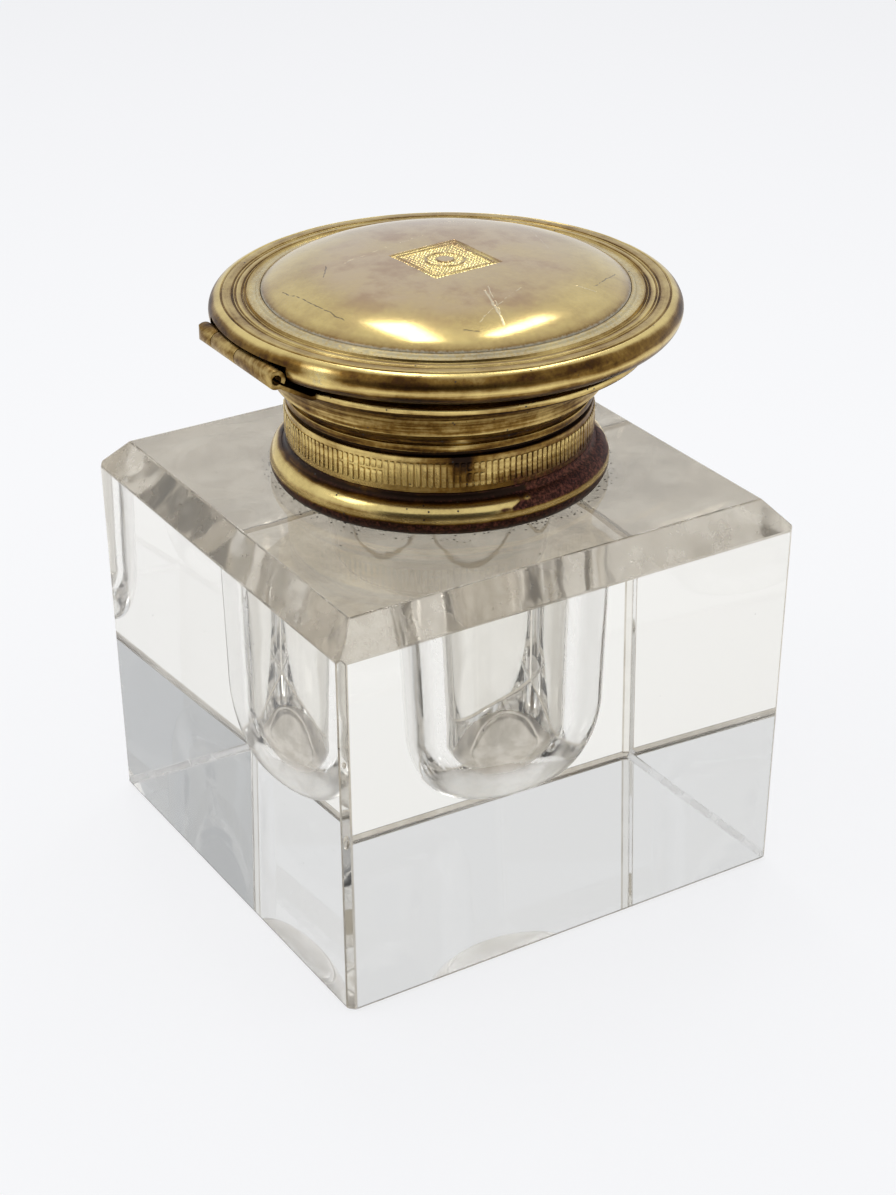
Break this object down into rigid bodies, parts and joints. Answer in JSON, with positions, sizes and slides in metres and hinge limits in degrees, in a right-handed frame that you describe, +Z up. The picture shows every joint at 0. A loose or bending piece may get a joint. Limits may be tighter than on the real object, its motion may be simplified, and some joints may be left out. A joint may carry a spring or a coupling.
{
  "type": "inkwell",
  "caption": "Square solid glass desk inkwell with a bevelled block, a turned brass collar with a reeded band, and a hinged low-domed brass lid on a rolled rim, worn and tarnished",
  "frame": {"origin": "centre of the glass block's base, on the surface that it stands on", "axes": "+Z up through the block and its neck, +Y towards the hinge at the back, X along the hinge pin"},
  "size_m": [0.057, 0.058, 0.0711],
  "materials": {
    "glass": "clear, ground and polished flat, fine scratches and chips",
    "cement": "dull white setting cement",
    "collar_brass": "turned brass, bright on the high spots, dark brown and purple in the hollows",
    "dark_brass": "tarnished brown brass",
    "hinge_brass": "worn sheet brass",
    "pin_metal": "dull drawn wire",
    "lid_brass": "lacquered brass, worn golden at the shoulder, brown tarnish on the crown"
  },
  "bodies": {
    "base": {"glass_block": "glass", "cement_bed": "cement", "foot_ring": "collar_brass", "reeded_band": "collar_brass", "flared_ring": "dark_brass", "rim_plate": "dark_brass", "mouth_sleeve": "dark_brass", "collar_leaf": "hinge_brass", "hinge_pin": "pin_metal"},
    "lid": {"lid_leaf": "hinge_brass", "lid_rim": "lid_brass", "lid_dome": "lid_brass", "lid_disc": "dark_brass", "lid_spigot": "dark_brass"}
  },
  "joints": [
    {"name": "lid_hinge", "type": "hinge", "parent": "base", "child": "lid", "pos_m": [0.0015, 0.02345, 0.0652], "axis": [-1, 0, 0], "range_deg": [0, 105]}
  ]
}
